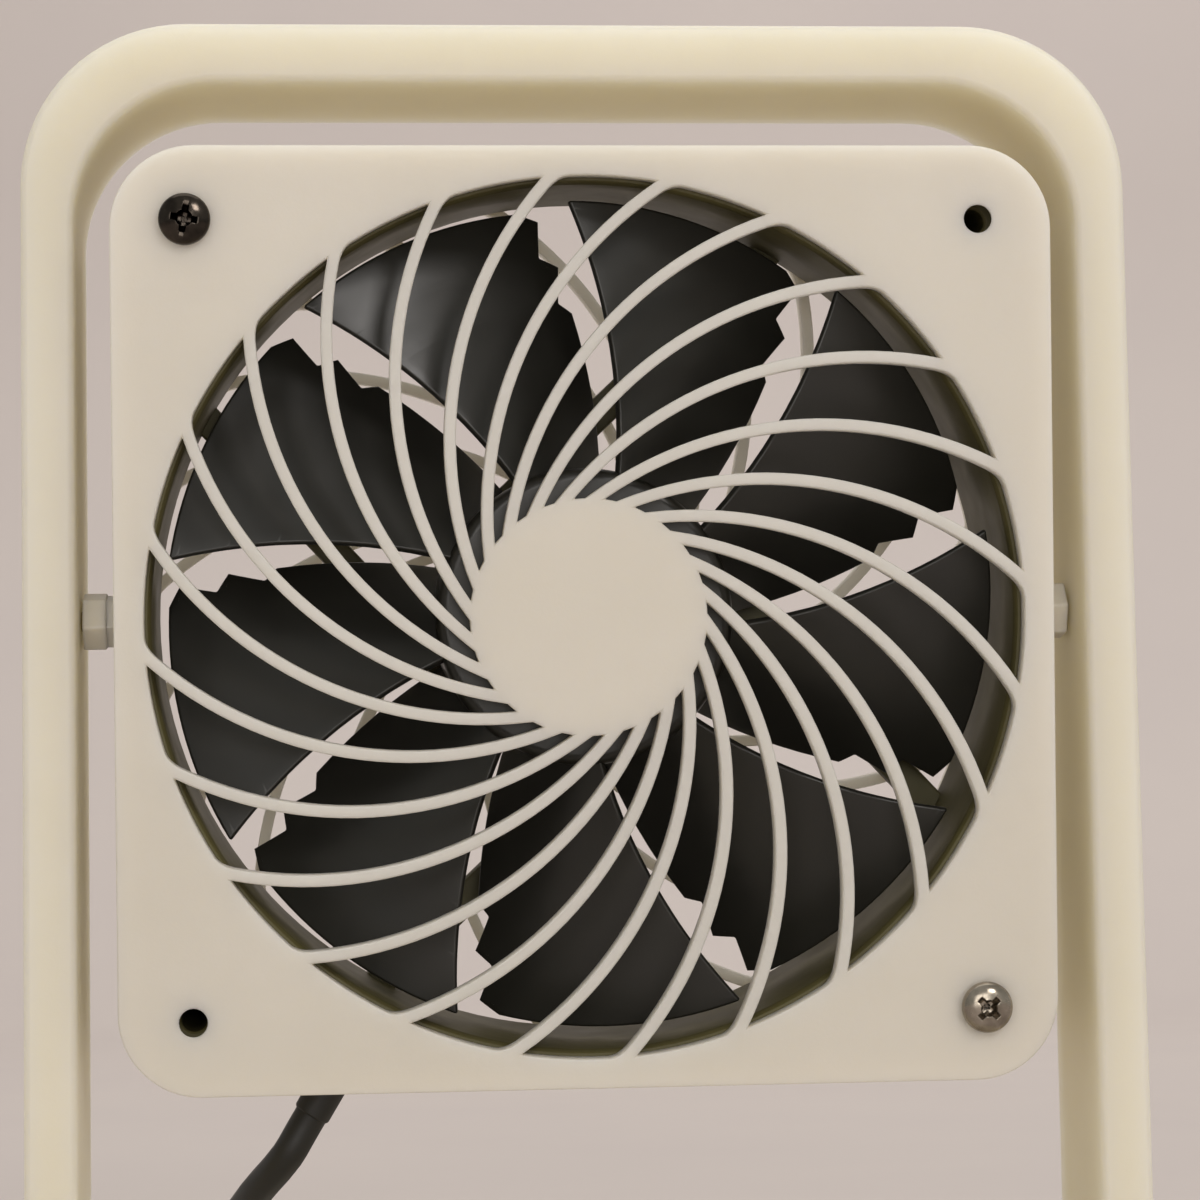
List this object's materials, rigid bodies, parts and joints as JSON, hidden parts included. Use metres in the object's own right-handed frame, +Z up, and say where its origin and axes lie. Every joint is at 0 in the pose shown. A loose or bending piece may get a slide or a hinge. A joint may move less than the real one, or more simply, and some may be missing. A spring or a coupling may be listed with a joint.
{
  "type": "air circulator fan",
  "caption": "Square fan head with a spiral grille, tilting between the legs of an arch stand on a flat base; rotor, motor, screws, feet and a coiled power lead are separate pieces.",
  "frame": {"origin": "on the table, under the middle of the base", "axes": "+Z up, -Y the way the grille in the picture faces, +X to the right seen from there"},
  "size_m": [0.156, 0.1873, 0.1913],
  "materials": {
    "cream_plastic": "fine satin texture, warm cream",
    "smoky_plastic": "semi-gloss, dark warm grey",
    "black_plastic": "satin, near black",
    "black_rubber": "matt black",
    "nickel": "nickel plated",
    "steel": "plain steel",
    "copper": "enamelled copper wire",
    "bronze": "sintered bronze",
    "ferrite": "bonded ferrite, dull",
    "circuit_board": "green lacquered board"
  },
  "bodies": {
    "stand": {"stand_arch": "cream_plastic", "base_shell": "cream_plastic", "base_cover": "cream_plastic", "ballast_plate": "steel", "rubber_foot_1": "black_rubber", "rubber_foot_2": "black_rubber", "rubber_foot_3": "black_rubber", "rubber_foot_4": "black_rubber", "leg_screw_1": "nickel", "leg_screw_2": "nickel", "leg_screw_3": "nickel", "leg_screw_4": "nickel", "power_cord": "black_rubber", "cord_coil": "black_rubber", "cord_tail": "black_rubber", "coil_tie": "black_rubber", "plug_body": "black_rubber", "plug_shell": "nickel"},
    "head": {"front_grille_shell": "cream_plastic", "rear_grille_shell": "cream_plastic", "fan_frame": "smoky_plastic", "front_screw_top_left": "nickel", "front_screw_bottom_right": "nickel", "rear_screw_top": "nickel", "rear_screw_bottom": "nickel", "pivot_bushing_left": "cream_plastic", "pivot_bushing_right": "cream_plastic", "pivot_screw_left": "nickel", "pivot_screw_right": "nickel", "cord_gland": "black_rubber", "bearing_sleeve": "bronze", "stator_core": "steel", "stator_winding_1": "copper", "stator_winding_2": "copper", "stator_winding_3": "copper", "stator_winding_4": "copper", "motor_board": "circuit_board"},
    "rotor": {"impeller": "black_plastic", "motor_yoke": "steel", "ring_magnet": "ferrite", "motor_shaft": "steel", "shaft_clip": "steel"}
  },
  "joints": [
    {"name": "head_tilt", "type": "hinge", "parent": "stand", "child": "head", "pos_m": [0, 0, 0.112], "axis": [1, 0, 0], "range_deg": [-49.7, 40.3], "deforming": ["power_cord"]},
    {"name": "rotor_spin", "type": "hinge", "parent": "head", "child": "rotor", "pos_m": [0, 0, 0.112], "axis": [0, -0.9966, -0.0819], "continuous": true}
  ]
}
